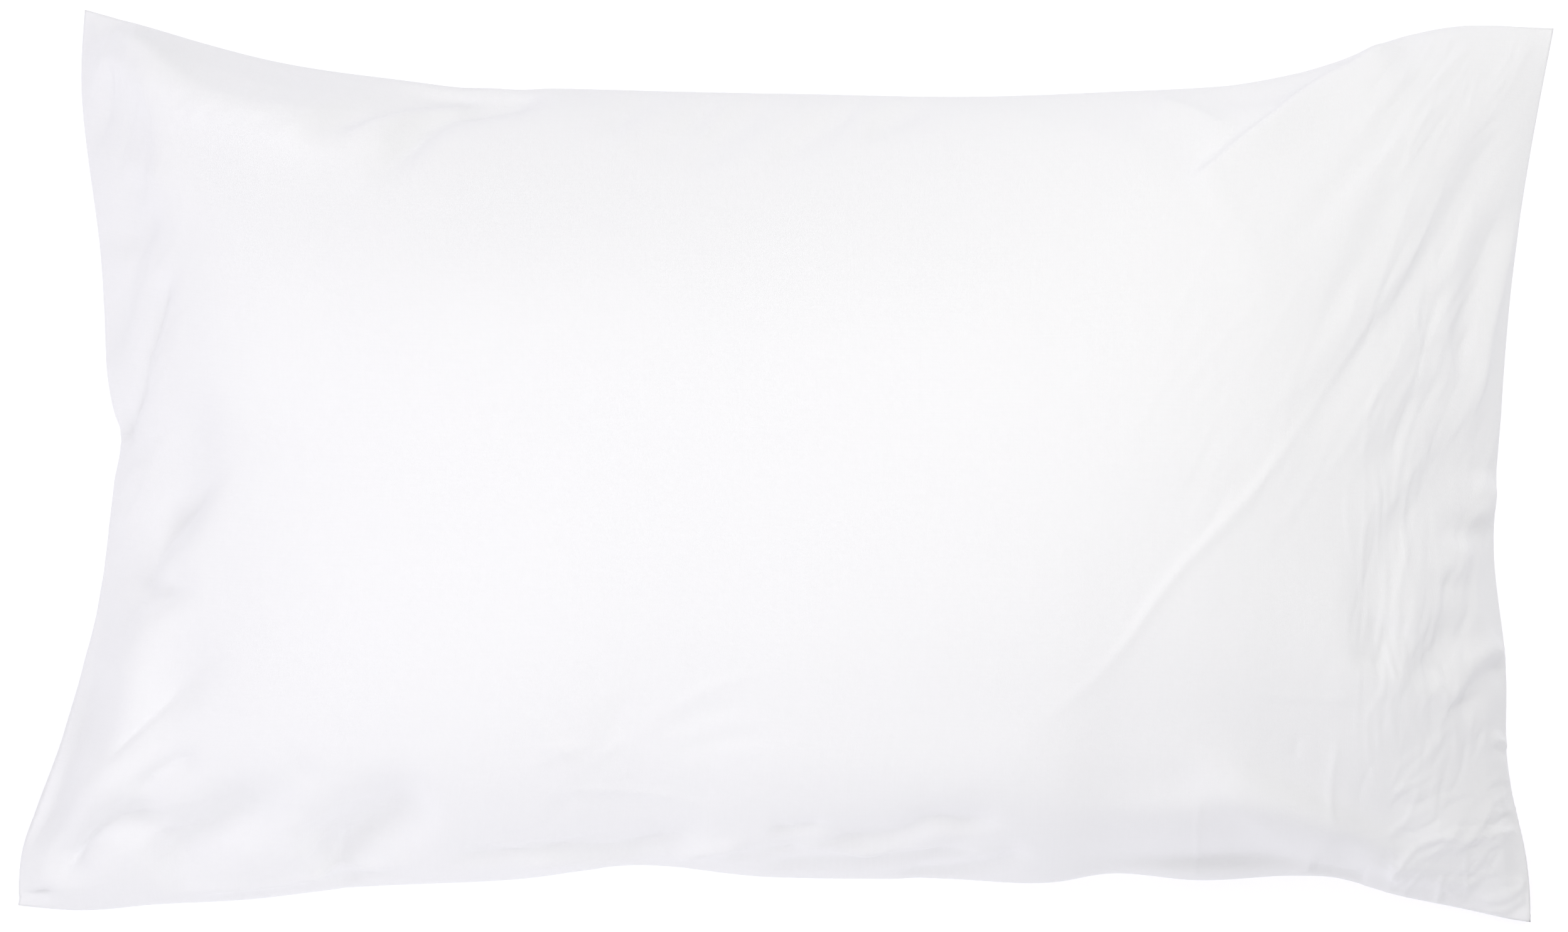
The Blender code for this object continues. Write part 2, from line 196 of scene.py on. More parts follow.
BOTTOM_FOLDS = [
    (-1.8, 8, 3.5, 1.6, 0.2, 0.2,
     [(-185, -206), (-150, -204), (-114, -202), (-86, -201), (-61, -197), (-34, -192)]),
    (-1.6, 7, 3.0, 1.6, 0.2, 0.2,
     [(17, -197), (40, -196), (64, -193), (77, -187), (96, -188), (117, -186)]),
    (-1.5, 5, 2.6, 1.6, 0.2, 0.2, [(-15, -209), (10, -208), (39, -207), (60, -205), (106, -202)]),
    (-1.6, 6, 2.6, 1.6, 0.2, 0.2, [(57, -215), (90, -212), (114, -208), (131, -202)]),
    (1.2, 2.4, 4, 1.5, 0.3, 0.3, [(-150, -209), (-118, -206), (-86, -204), (-61, -203)]),
    (1.2, 2.4, 4, 1.5, 0.2, 0.3, [(-61, -203), (-36, -199), (-15, -198)]),
    (-1.0, 4, 2.4, 1.6, 0.2, 0.3, [(-9, -190), (2, -191), (14, -189), (24, -187)]),
    (-1.0, 4, 2.4, 1.6, 0.2, 0.3, [(-34, -204), (-10, -203), (8, -199), (17, -197)]),
    (1.0, 2.4, 3, 1.5, 0.3, 0.3, [(20, -203), (44, -202), (66, -200), (92, -197)]),
    (0.2, 2, 2.4, 1.6, 0.3, 0.3, [(-128, -171), (-91, -169), (-44, -178), (-26, -191)]),
    (-0.2, 3, 4, 1.8, 0.3, 0.4, [(-122, -176), (-90, -174), (-52, -181)]),
    (0.18, 2.4, 3, 1.8, 0.3, 0.4, [(-65, -138), (-54, -125), (-41, -117), (-8, -107)]),
    (-0.2, 6, 6, 1.8, 0.3, 0.4, [(-65, -143), (-49, -133), (-29, -127), (-11, -123)]),
    (-0.25, 6, 6, 2.0, 0.4, 0.4, [(-90, -150), (-87, -134), (-82, -116)]),
    (0.18, 2.4, 3, 1.8, 0.3, 0.4, [(-96, -150), (-103, -130), (-112, -110)]),
    (0.18, 2.4, 3, 1.8, 0.3, 0.4, [(-108, -158), (-123, -141), (-142, -125)]),
    (0.16, 2.4, 3, 1.8, 0.3, 0.4, [(-76, -148), (-66, -130), (-58, -112)]),
    (-0.2, 5, 5, 2.0, 0.3, 0.4, [(-62, -152), (-34, -144), (-2, -140)]),
]
LEFT_FOLDS = [
    (3.2, 20, 9, 1.6, 0.2, 0.3, [(-351, 223), (-336, 212), (-325, 184), (-325, 146), (-331, 118)]),
    (-2.8, 7, 8, 1.8, 0.25, 0.3,
     [(-322, 150), (-330, 133), (-337, 118), (-343, 99), (-348, 80), (-352, 46)]),
    (-3.0, 4, 9, 1.5, 0.2, 0.05,
     [(-319, 104), (-326, 87), (-330, 73), (-335, 58), (-338, 39), (-344, 20), (-346, 10)]),
    (-3.0, 14, 12, 2.0, 0.3, 0.3, [(-314, 48), (-312, 10), (-322, -22), (-338, -52)]),
    (-3.8, 9, 14, 1.8, 0.6, 0.15,
     [(-286, 12), (-300, -6), (-313, -22), (-326, -36), (-338, -56), (-344, -74)]),
    (-0.8, 2.6, 4, 1.5, 0.3, 0.3, [(-298, -4), (-312, -21), (-325, -33), (-336, -51), (-341, -63)]),
]
TOP_FOLDS = [
    (3.8, 8, 22, 1.6, 0.1, 0.4,
     [(-357, 228), (-335, 212), (-311, 195), (-278, 185), (-239, 183), (-200, 188)]),
    (-3.4, 9, 7, 1.8, 0.3, 0.2,
     [(-258, 172), (-238, 178), (-218, 185), (-201, 191), (-180, 196), (-150, 199)]),
    (2.6, 4, 8, 1.6, 0.3, 0.2, [(-233, 170), (-206, 181), (-183, 188), (-157, 193)]),
    (-4.2, 11, 7, 1.8, 0.3, 0.2,
     [(-222, 150), (-206, 158), (-196, 168), (-184, 180), (-164, 188), (-118, 195)]),
    (-1.2, 3, 3, 1.6, 0.3, 0.2, [(-206, 160), (-196, 170), (-184, 181), (-164, 188), (-128, 193)]),
    (-1.6, 5, 4, 1.8, 0.3, 0.4, [(-345, 214), (-350, 200), (-355, 182), (-361, 160)]),
    (-2.4, 8, 8, 2.0, 0.3, 0.3, [(-334, 158), (-342, 138), (-349, 106)]),
    (-2.2, 9, 7, 1.9, 0.3, 0.4, [(0, 193), (-18, 182), (-36, 169), (-63, 147)]),
    (-1.8, 7, 6, 1.9, 0.3, 0.4, [(-28, 192), (-46, 181), (-60, 169), (-78, 153)]),
    (-1.8, 8, 6, 1.9, 0.3, 0.4, [(44, 190), (22, 178), (2, 165), (-14, 152)]),
    (-1.6, 7, 5, 1.9, 0.3, 0.4, [(80, 190), (58, 181), (38, 169)]),
    (-1.4, 7, 5, 1.9, 0.3, 0.4, [(-64, 193), (-82, 184), (-100, 172)]),
]
# Folds of the back, which run in from the corners and the seams to the flat patch, in the same columns
BACK_FOLDS = [
    (6, 7, 9, 1.8, 0.1, 0.5, [(-392, -222), (-332, -170), (-262, -128)]),
    (-4, 5, 8, 1.8, 0.15, 0.4, [(-372, -180), (-318, -132), (-270, -95)]),
    (5, 7, 9, 1.8, 0.1, 0.5, [(-362, 226), (-312, 174), (-255, 132)]),
    (-6, 6, 8, 1.8, 0.15, 0.4, [(-345, 205), (-272, 170), (-205, 150)]),
    (4, 6, 8, 1.8, 0.1, 0.5, [(-352, 15), (-305, 26), (-262, 32)]),
    (-5, 7, 8, 1.8, 0.1, 0.5, [(385, -225), (322, -176), (262, -138)]),
    (5, 7, 9, 1.8, 0.1, 0.5, [(392, 215), (328, 166), (268, 128)]),
    (4, 6, 8, 1.8, 0.1, 0.5, [(362, -60), (310, -48), (262, -42)]),
    (5, 9, 8, 1.8, 0.1, 0.5, [(-60, -205), (-52, -178), (-40, -150)]),
    (4, 8, 9, 1.8, 0.1, 0.5, [(40, 190), (38, 165), (30, 140)]),
]
# Each table of the front's folds, and what its heights are multiplied by
FOLD_TABLES = [
    (RIGHT_END_FOLDS, 0.95),
    (TOP_RIGHT_FOLDS, 1.1),
    (BOTTOM_RIGHT_FOLDS, 0.9),
    (BOTTOM_LEFT_FOLDS, 1.6),
    (BOTTOM_FOLDS, 3.0),
    (LEFT_FOLDS, 1.6),
    (TOP_FOLDS, 1.5),
]
# Folds with a side narrower than this are pressed into the relaxed cloth, so that they stay crisp.
CRISP_WIDTH = 4.0
# How far a fold reaches in its own widths, and the step between points on its crest
FOLD_REACH = 3.2
FOLD_STEP = 3.0
# Distance from the seam within which the body's changes and the back's own form fade in
BODY_FADE = 16.0
RIM_FADE = 16.0
# Folds fade in over this distance, which starts a little outside the seam, so that they still mark it.
SEAM_FADE = 6.0
SEAM_MARK = 2.0

# Small creases, scattered over a zone: how many, x, y, reach x, reach y, direction, spread of it, length,
# height, half-width
SMALL_CREASES = [
    (50, 338, 60, 26, 60, 66, 6, 82, 0.50, 1.3),
    (56, 330, -50, 30, 60, 84, 7, 76, 0.45, 1.3),
    (60, 335, -130, 30, 40, 72, 20, 34, 0.55, 1.2),
    (80, 350, -195, 32, 28, 30, 26, 30, 0.60, 1.1),
    (50, 345, 190, 35, 40, 56, 8, 50, 0.40, 1.3),
    (30, 250, 40, 50, 70, 58, 5, 90, 0.25, 1.8),
    (34, 0, 172, 90, 14, -128, 12, 32, 0.5, 1.8),
    (30, -75, -165, 55, 22, 60, 35, 30, 0.40, 1.7),
    (60, -280, -195, 70, 20, 24, 14, 32, 0.50, 1.5),
    (50, -335, 30, 16, 110, 68, 10, 34, 0.45, 1.5),
    (70, -20, -201, 130, 7, 8, 10, 38, 0.75, 1.4),
    (30, -250, 185, 60, 10, 28, 14, 28, 0.40, 1.5),
    (30, -340, 185, 14, 40, 75, 12, 34, 0.45, 1.5),
    (70, 0, 0, 330, 170, 45, 60, 40, 0.10, 2.2),
]

# Points of a small crease: share of its half-length along, share of its bow beside
CREASE_BOW = [(-1.0, 0.0), (-0.5, 0.75), (0.0, 1.0), (0.5, 0.75), (1.0, 0.0)]
CREASE_SHARPNESS = 1.5
# Chances of a small crease: its half-length as a share of the zone's length, its bow as a share of that,
# its height and the width of its far side as shares of the zone's, shares over which it rises and falls
HALF_LENGTH_SHARES = (0.3, 0.8)
BOW_SPREAD = 0.12
HEIGHT_SHARES = (0.5, 1.3)
FAR_SIDE_SHARES = (1.0, 1.8)
RISE_SHARES = (0.2, 0.5)
FALL_SHARES = (0.3, 0.6)
# Every how many-th small crease is a trough
TROUGH_STEP = 3
CREASE_SEED = 8

# Spare cloth: x, y, reach x, reach y, direction of its creases, spare share across them, spare share along
SPARE_CLOTH = [
    (345, 60, 50, 150, 62, 0.012, 0.002),
    (310, -110, 80, 90, 58, 0.012, 0.003),
    (350, -200, 55, 45, 25, 0.040, 0.015),
    (360, 215, 45, 40, 50, 0.020, 0.004),
    (-370, -190, 50, 60, 50, 0.030, 0.008),
    (-345, 60, 24, 150, 72, 0.025, 0.003),
    (-210, -205, 140, 24, 16, 0.030, 0.004),
    (20, -200, 160, 20, 8, 0.030, 0.004),
    (-60, 180, 260, 18, 35, 0.012, 0.002),
    (0, 0, 420, 240, 40, 0.002, 0.001),
]

# Relaxing on the ground: every how many-th point, rounds, pull on cloth above the ground, pull on cloth
# below it, stiffness in bending, starting noise
RELAXING = [
    (3, 400, 0.0006, 0.004, 0.10, 0.8),
    (1, 120, 0.0006, 0.004, 0.22, 0.15),
]
RELAXING_SEED = 5
# Edges of the grid by the columns and rows they run over, and how firmly each keeps its length
EDGE_HOLDS = [
    (1, 0, 0.9),
    (0, 1, 0.9),
    (1, 1, 0.35),
    (1, -1, 0.35),
]
# How firmly the ground holds the cloth, the same at the seams, and how far the corners may give way
GROUND_HOLD = 0.002
SEAM_HOLD = 0.03
CORNER_FREEDOM = 0.01
# How far the seams' own waves carry into the back, and a weight that keeps a sum from being nothing
SEAM_WAVE_REACH = 30.0
LEAST_WEIGHT = 1e-6
# Length below which a direction isn't worked out
LEAST_LENGTH = 1e-9

# Stage, in metres and watts: a pale floor just under the cloth, the surround and the softboxes
FLOOR_SIZE = 8.0
FLOOR_GAP = 0.0005
FLOOR_COLOUR = (0.5, 0.5, 0.5)
FLOOR_GLOW = 0.58
FLOOR_GLOW_COLOUR = (1.0, 0.99, 1.06)
SURROUND_COLOUR = (0.992, 0.988, 1.0)
SURROUND_STRENGTH = 0.58
# Where the surround is darker: direction, share of its light that is missing there, how narrow that side is
DARK_SIDES = [
    ((0.72, -0.60, 0.35), 0.15, 2.5),
    ((-0.65, -0.72, 0.25), 0.75, 3.0),
]
# Name, place, size, watts, colour
SOFTBOXES = [
    ("softbox_overhead", (-0.1, 0.1, 1.2), 0.7, 1.7, (1.0, 0.99, 0.96)),
    ("softbox_left", (-1.1, 0.3, 0.8), 0.6, 4.2, (0.97, 0.95, 1.0)),
    ("softbox_right", (1.1, 0.25, 0.8), 0.6, 0.7, (1.0, 1.0, 0.96)),
    ("softbox_top_right", (0.5, 0.5, 0.9), 0.6, 3.1, (1.0, 1.0, 0.96)),
    ("softbox_bottom", (-0.28, -1.1, 0.8), 0.6, 5.9, (0.97, 0.96, 1.0)),
]

# Percale. The cloth map holds the front in its lower half and the back in its upper half.
CLOTH_LENGTH = 800.0
CLOTH_WIDTH = 500.0
# Margin round each half of the map, how much further out the rim's places lie, middle of the front's half
MAP_MARGIN = 0.01
RIM_MARGIN = 0.004
FRONT_MIDDLE = np.array([0.5, 0.25])
# Weave: from one thread to the next, relief
THREAD_PITCH = 0.34
THREAD_RELIEF = 0.018
# Thicker threads: length, width, relief, detail of the noise
SLUB = (60.0, 0.9, 0.05, 1.0)
# Creases finer than the grid: size, relief, detail, stretch. They lie where the noise passes its middle.
FINE_CREASE = (26.0, 0.35, 3.0, (1.6, 1.0, 1.0))
NOISE_MIDDLE = 0.5
# Puckers along the seams: size, relief, detail
PUCKER = (7.0, 0.5, 1.0)
PUCKER_REACH = 9.0
# Mottle of the white: size, detail
MOTTLE = (90.0, 2.0)
# Colour and roughness run between two values with the shade
COTTON_LIGHT = (0.868, 0.868, 0.880)
COTTON_DARK = (0.846, 0.846, 0.860)
COTTON_ROUGHNESS = (0.80, 0.90)
COTTON_SHEEN = 0.05
SHEEN_ROUGHNESS = 0.5


def smoothstep(t):
    """From 0 to 1 with soft ends, as t goes from 0 to 1."""
    t = np.clip(t, 0.0, 1.0)
    return t * t * (3 - 2 * t)


def smooth_curve(rows, steps):
    """A smooth curve through the rows' points, as that many points."""
    rows = np.array(rows, float)
    spans = np.linalg.norm(np.diff(rows, axis=0), axis=1)
    knots = np.append(0.0, np.cumsum(spans))
    slopes = np.gradient(rows, knots, axis=0)
    fine = np.linspace(0.0, knots[-1], steps)
    cell = np.clip(np.searchsorted(knots, fine, side="right") - 1, 0, len(spans) - 1)
    span = spans[cell][:, None]
    t = (fine - knots[cell])[:, None] / span
    curve = (1 + 2 * t) * (1 - t) ** 2 * rows[cell]
    curve += t * (1 - t) ** 2 * span * slopes[cell]
    curve += t**2 * (3 - 2 * t) * rows[cell + 1]
    curve += t**2 * (t - 1) * span * slopes[cell + 1]
    return curve


def graded(count, density):
    """Shares of a side for count cells, closer together where the table is denser."""
    share, close = np.array(density).T
    fine = np.linspace(0.0, 1.0, DENSITY_STEPS * count + 1)
    line = smooth_curve(np.stack([share, close], axis=1), fine.size)
    passed = np.append(0.0, np.cumsum(np.interp((fine[1:] + fine[:-1]) / 2, line[:, 0], line[:, 1])))
    return np.interp(np.linspace(0.0, passed[-1], count + 1), passed, fine)


def smooth_line(rows, shares):
    """Points of a seam at those shares of its length."""
    curve = smooth_curve(rows, CURVE_STEPS * len(shares))
    walked = np.append(0.0, np.cumsum(np.linalg.norm(np.diff(curve, axis=0), axis=1)))
    wanted = walked[-1] * shares
    return np.stack([np.interp(wanted, walked, curve[:, k]) for k in range(3)], axis=1)


ALONG = graded(CELLS_ALONG, DENSITY_ALONG)
ACROSS = graded(CELLS_ACROSS, DENSITY_ACROSS)


def seam_patch():
    """Grid of points that spans the four seams: x, y and the height that the seams give there."""
    bottom = smooth_line(BOTTOM_SEAM, ALONG)[:, None]
    top = smooth_line(TOP_SEAM, ALONG)[:, None]
    left = smooth_line(CLOSED_END, ACROSS)[None]
    right = smooth_line(OPEN_END, ACROSS)[None]
    u = ALONG[:, None, None]
    v = ACROSS[None, :, None]
    corners = (1 - u) * ((1 - v) * bottom[:1] + v * top[:1]) + u * ((1 - v) * bottom[-1:] + v * top[-1:])
    return (1 - v) * bottom + v * top + (1 - u) * left + u * right - corners


def section(t, shape):
    """A rounded section: 1 in the middle, 0 where t is -1 or 1."""
    power, exponent = shape
    return np.clip(1 - np.abs(t) ** power, 0.0, 1.0) ** exponent


def fullness():
    """How full the case is, from 0 at the seams to 1 at the crown."""
    u = ALONG[:, None]
    v = ACROSS[None]
    closed_side = section((CROWN_AT - u) / CROWN_AT, CLOSED_END_SECTION)
    open_side = section((u - CROWN_AT) / (1 - CROWN_AT), OPEN_END_SECTION)
    return np.where(u < CROWN_AT, closed_side, open_side) * section(2 * v - 1, CROSS_SECTION)


def seam_distance(x, y):
    """Distance to the nearest seam along the grid's lines."""
    sides = [(x[:1], y[:1]), (x[-1:], y[-1:]), (x[:, :1], y[:, :1]), (x[:, -1:], y[:, -1:])]
    return np.minimum.reduce([np.hypot(x - sx, y - sy) for sx, sy in sides])


def body_change(x, y):
    """Rise of the face at points, where the filling bulges or stops short."""
    rise = np.zeros_like(x)
    for cx, cy, along, across, turn, height in BODY_CHANGES:
        c, s = math.cos(math.radians(turn)), math.sin(math.radians(turn))
        a = ((x - cx) * c + (y - cy) * s) / along
        b = ((y - cy) * c - (x - cx) * s) / across
        rise += height * np.exp(-(a * a) - b * b)
    return rise


def fold_relief(x, y, folds):
    """Height of a table's folds at points, each fold a crest with its own width on both sides."""
    relief = np.zeros_like(x)
    for height, left, right, sharpness, rise, fall, points in folds:
        length = np.linalg.norm(np.diff(np.array(points, float), axis=0), axis=1).sum()
        curve = smooth_curve(points, max(4, int(length / FOLD_STEP)))
        reach = FOLD_REACH * max(left, right)
        near = (x > curve[:, 0].min() - reach) & (x < curve[:, 0].max() + reach)
        near &= (y > curve[:, 1].min() - reach) & (y < curve[:, 1].max() + reach)
        spot = np.stack([x[near], y[near]], axis=1)
        start, step = curve[:-1], np.diff(curve, axis=0)
        lengths = np.linalg.norm(step, axis=1)
        walked = np.append(0.0, np.cumsum(lengths))
        away = spot[:, None] - start
        t = np.clip((away * step).sum(2) / lengths**2, 0.0, 1.0)
        distance = np.linalg.norm(away - t[..., None] * step, axis=2)
        k = distance.argmin(axis=1)
        row = np.arange(len(spot))
        side = step[k, 0] * away[row, k, 1] - step[k, 1] * away[row, k, 0]
        share = (walked[k] + t[row, k] * lengths[k]) / walked[-1]
        taper = smoothstep(share / rise) * smoothstep((1 - share) / fall)
        width = np.where(side > 0, left, right)
        relief[near] += height * taper * np.exp(-((distance[row, k] / width) ** sharpness))
    return relief


def small_creases():
    """Fold rows for the small creases: slightly bowed, two ridges to a trough, softer on the right side."""
    random = np.random.RandomState(CREASE_SEED)
    rows = []
    for count, x, y, reach_x, reach_y, direction, spread, length, height, width in SMALL_CREASES:
        for k in range(count):
            cx = x + reach_x * random.uniform(-1, 1)
            cy = y + reach_y * random.uniform(-1, 1)
            angle = math.radians(direction + spread * random.normal())
            half = length * random.uniform(*HALF_LENGTH_SHARES)
            bow = half * random.normal(0.0, BOW_SPREAD)
            c, s = math.cos(angle), math.sin(angle)
            points = []
            for a, b in CREASE_BOW:
                points.append((cx + a * half * c - b * bow * s, cy + a * half * s + b * bow * c))
            crest = height * random.uniform(*HEIGHT_SHARES) * (1 if k % TROUGH_STEP else -1)
            far_side = width * random.uniform(*FAR_SIDE_SHARES)
            rise = random.uniform(*RISE_SHARES)
            fall = random.uniform(*FALL_SHARES)
            rows.append((crest, width, far_side, CREASE_SHARPNESS, rise, fall, points))
    return rows


def grid_normals(points):
    """Unit normals of a grid of points, on the side of its front."""
    normal = np.cross(np.gradient(points, axis=0), np.gradient(points, axis=1))
    return normal / np.maximum(np.linalg.norm(normal, axis=2, keepdims=True), LEAST_LENGTH)


def spare_length(x, y, along_x, along_y):
    """How much longer the cloth is than its ground, at points and in directions of unit length."""
    extra = np.zeros_like(x)
    for cx, cy, reach_x, reach_y, angle, across, along in SPARE_CLOTH:
        weight = np.exp(-(((x - cx) / reach_x) ** 2) - ((y - cy) / reach_y) ** 2)
        crease = (along_x * math.cos(math.radians(angle)) + along_y * math.sin(math.radians(angle))) ** 2
        extra += weight * (along * crease + across * (1 - crease))
    return 1 + extra


def edge_ends(grid, di, dj):
    """The two ends of each edge that runs di columns and dj rows across the grid."""
    rows = grid.shape[1]
    start = grid[: grid.shape[0] - di, max(0, -dj) : rows - max(0, dj)]
    end = grid[di:, max(0, dj) : rows + min(0, dj)]
    return start, end


def rest_lengths(ground, di, dj):
    """Lengths that one family of edges would rest at, with the spare cloth."""
    start, end = edge_ends(ground, di, dj)
    edge = end - start
    flat = np.maximum(np.hypot(edge[..., 0], edge[..., 1]), LEAST_LENGTH)
    middle = (start + end) / 2
    spare = spare_length(middle[..., 0], middle[..., 1], edge[..., 0] / flat, edge[..., 1] / flat)
    return np.linalg.norm(edge, axis=2) * spare


def hold_lengths(cloth, free, lengths, di, dj, hold):
    """Moves the ends of one family of edges towards their rest lengths, every second edge at a time."""
    for first in (0, 1):
        pick = (slice(first, None, 2), slice(None)) if di else (slice(None), slice(first, None, 2))
        start, end = [ends[pick] for ends in edge_ends(cloth, di, dj)]
        free_start, free_end = [ends[pick] for ends in edge_ends(free, di, dj)]
        edge = end - start
        length = np.sqrt((edge * edge).sum(axis=2, keepdims=True))
        excess = length - lengths[pick][..., None]
        share = hold * excess / np.maximum(length * (free_start + free_end), LEAST_LENGTH)
        start += free_start * edge * share
        end -= free_end * edge * share


def bend(grid):
    """Difference between each point and the mean of its four neighbours."""
    out = np.zeros_like(grid)
    around = grid[:-2, 1:-1] + grid[2:, 1:-1] + grid[1:-1, :-2] + grid[1:-1, 2:]
    out[1:-1, 1:-1] = around / 4 - grid[1:-1, 1:-1]
    return out


def relax(ground, cloth, rounds, pull_above, pull_below, stiffness):
    """Lets the cloth take up its spare length in creases, while the filling holds it near its ground."""
    held = np.full(ground.shape[:2] + (1,), GROUND_HOLD)
    held[0] = held[-1] = SEAM_HOLD
    held[:, 0] = held[:, -1] = SEAM_HOLD
    free = np.ones_like(held)
    free[0, 0] = free[0, -1] = free[-1, 0] = free[-1, -1] = CORNER_FREEDOM
    normal = grid_normals(ground)
    lengths = [rest_lengths(ground, di, dj) for di, dj, hold in EDGE_HOLDS]
    for _ in range(rounds):
        for (di, dj, hold), rest in zip(EDGE_HOLDS, lengths):
            hold_lengths(cloth, free, rest, di, dj, hold)
        # Stiffness smooths only what the cloth has beyond the ground, so the folds of the tables stay.
        cloth -= stiffness * bend(bend(cloth - ground))
        off = ((cloth - ground) * normal).sum(axis=2, keepdims=True)
        cloth -= normal * off * np.where(off > 0, pull_above, pull_below)
        cloth += held * (ground - cloth)
    return cloth


def refine(coarse, step):
    """The same grid at step times the resolution, through smooth curves."""
    for axis in (0, 1):
        coarse = np.moveaxis(coarse, axis, 0)
        before = 2 * coarse[:1] - coarse[1:2]
        after = 2 * coarse[-1:] - coarse[-2:-1]
        padded = np.concatenate([before, coarse, after])
        a, b, c, d = padded[:-3], padded[1:-2], padded[2:-1], padded[3:]
        parts = []
        for t in np.arange(step) / step:
            bow = (2 * a - 5 * b + 4 * c - d) * t**2 + (3 * b - a - 3 * c + d) * t**3
            parts.append(b + ((c - a) * t + bow) / 2)
        fine = np.stack(parts, axis=1).reshape((-1,) + coarse.shape[1:])
        coarse = np.moveaxis(np.concatenate([fine, coarse[-1:]]), 0, axis)
    return coarse


def relaxed(ground):
    """The cloth after a coarse and a fine relaxing on the ground."""
    random = np.random.RandomState(RELAXING_SEED)
    moved = np.zeros_like(ground)
    for step, rounds, pull_above, pull_below, stiffness, noise in RELAXING:
        part = ground[::step, ::step]
        start = part + moved[::step, ::step]
        start = start + grid_normals(part) * random.normal(0.0, noise, part.shape[:2] + (1,))
        cloth = relax(part, start, rounds, pull_above, pull_below, stiffness)
        moved = refine(cloth - part, step)
    return ground + moved


def seam_wave(moved, x, y):
    """The seams' own shifts, carried over the face near them."""
    sides = [(moved[:1], x[:1], y[:1]), (moved[-1:], x[-1:], y[-1:])]
    sides += [(moved[:, :1], x[:, :1], y[:, :1]), (moved[:, -1:], x[:, -1:], y[:, -1:])]
    total = np.zeros_like(moved)
    weights = np.full(x.shape + (1,), LEAST_WEIGHT)
    for shift, side_x, side_y in sides:
        weight = np.exp(-((np.hypot(x - side_x, y - side_y) / SEAM_WAVE_REACH) ** 2))[..., None]
        total += shift * weight
        weights += weight
    return total / np.maximum(weights, 1.0)


def folds_by_hand():
    """The front's folds with their tables' strengths, parted into the broad and the crisp ones."""
    folds = [(row[0] * strength, *row[1:]) for table, strength in FOLD_TABLES for row in table]
    broad = [fold for fold in folds if min(fold[1:3]) >= CRISP_WIDTH]
    crisp = [fold for fold in folds if min(fold[1:3]) < CRISP_WIDTH]
    return broad, crisp


def front_skin(x, y, seam, full, distance):
    """Points of the front: body, broad folds, relaxed cloth, then the crisp folds and small creases."""
    body = seam + (CROWN_HEIGHT - seam) * full + SEAM_THICKNESS / 2
    body = body + body_change(x, y) * smoothstep(distance / BODY_FADE)
    # The camera sees a point that lies higher as further out.
    spread = (CAMERA_HEIGHT - SEAM_PLANE) / (CAMERA_HEIGHT - body)
    seam_fade = smoothstep((distance + SEAM_MARK) / SEAM_FADE)
    broad, crisp = folds_by_hand()
    relief = fold_relief(x * spread, y * spread, broad) * seam_fade
    ground = np.stack([x, y, body], axis=2)
    ground = ground + grid_normals(ground) * relief[..., None]
    cloth = relaxed(ground)
    relief = fold_relief(x * spread, y * spread, crisp + small_creases()) * seam_fade
    return cloth + grid_normals(cloth) * relief[..., None]


def back_skin(x, y, seam, full, rim, front):
    """Points of the back: flat where it lies, with its own folds, and joined to the front at the seams."""
    height = seam * (1 - full) ** UNDERSIDE_POWER - SEAM_THICKNESS / 2 - UNDERSIDE_CUT * rim
    height = height + rim * fold_relief(x, y, BACK_FOLDS)
    back = np.stack([x, y, np.maximum(height, 0.0)], axis=2)
    plain = np.stack([x, y, seam + SEAM_THICKNESS / 2], axis=2)
    back = back + seam_wave(front - plain, x, y)
    for side in (np.s_[0], np.s_[-1], np.s_[:, 0], np.s_[:, -1]):
        back[side] = front[side] - (0.0, 0.0, SEAM_THICKNESS)
    back[..., 2] = np.maximum(back[..., 2], 0.0)
    return back


def skins():
    """Points of the front and of the back of the case, kept apart by the least thickness."""
    x, y, seam = np.moveaxis(seam_patch(), 2, 0)
    full = fullness()
    distance = seam_distance(x, y)
    rim = smoothstep(distance / RIM_FADE)
    front = front_skin(x, y, seam, full, distance)
    back = back_skin(x, y, seam, full, rim, front)
    thinnest = SEAM_THICKNESS + (SLACK_THICKNESS - SEAM_THICKNESS) * rim
    room = front[..., 2] - back[..., 2] - thinnest
    front[..., 2] = back[..., 2] + thinnest + (room + np.hypot(room, SOFT_STOP * rim)) / 2
    return front, back


def centre_shift():
    """From the middle of the seams' outline to the tables' origin."""
    seam = seam_patch()
    low, high = seam.min(axis=(0, 1)), seam.max(axis=(0, 1))
    return np.array([(low[0] + high[0]) / 2, (low[1] + high[1]) / 2, 0.0])


def border(columns, rows):
    """Column and row of each point round a grid, anticlockwise from its first corner."""
    ring = [(i, 0) for i in range(columns)]
    ring += [(columns, j) for j in range(rows)]
    ring += [(i, rows) for i in range(columns, 0, -1)]
    ring += [(0, j) for j in range(rows, 0, -1)]
    return ring


def cells(index):
    """The four corners of each cell of a grid of point numbers."""
    return np.stack([index[:-1, :-1], index[1:, :-1], index[1:, 1:], index[:-1, 1:]], axis=2).reshape(-1, 4)


def cloth_map(upper):
    """Places of the skin's points in their half of the cloth map."""
    u = np.broadcast_to(MAP_MARGIN + (1 - 2 * MAP_MARGIN) * ALONG[:, None], (ALONG.size, ACROSS.size))
    v = np.broadcast_to((MAP_MARGIN + (1 - 2 * MAP_MARGIN) * ACROSS[None] + upper) / 2, u.shape)
    return np.stack([u, v], axis=2)


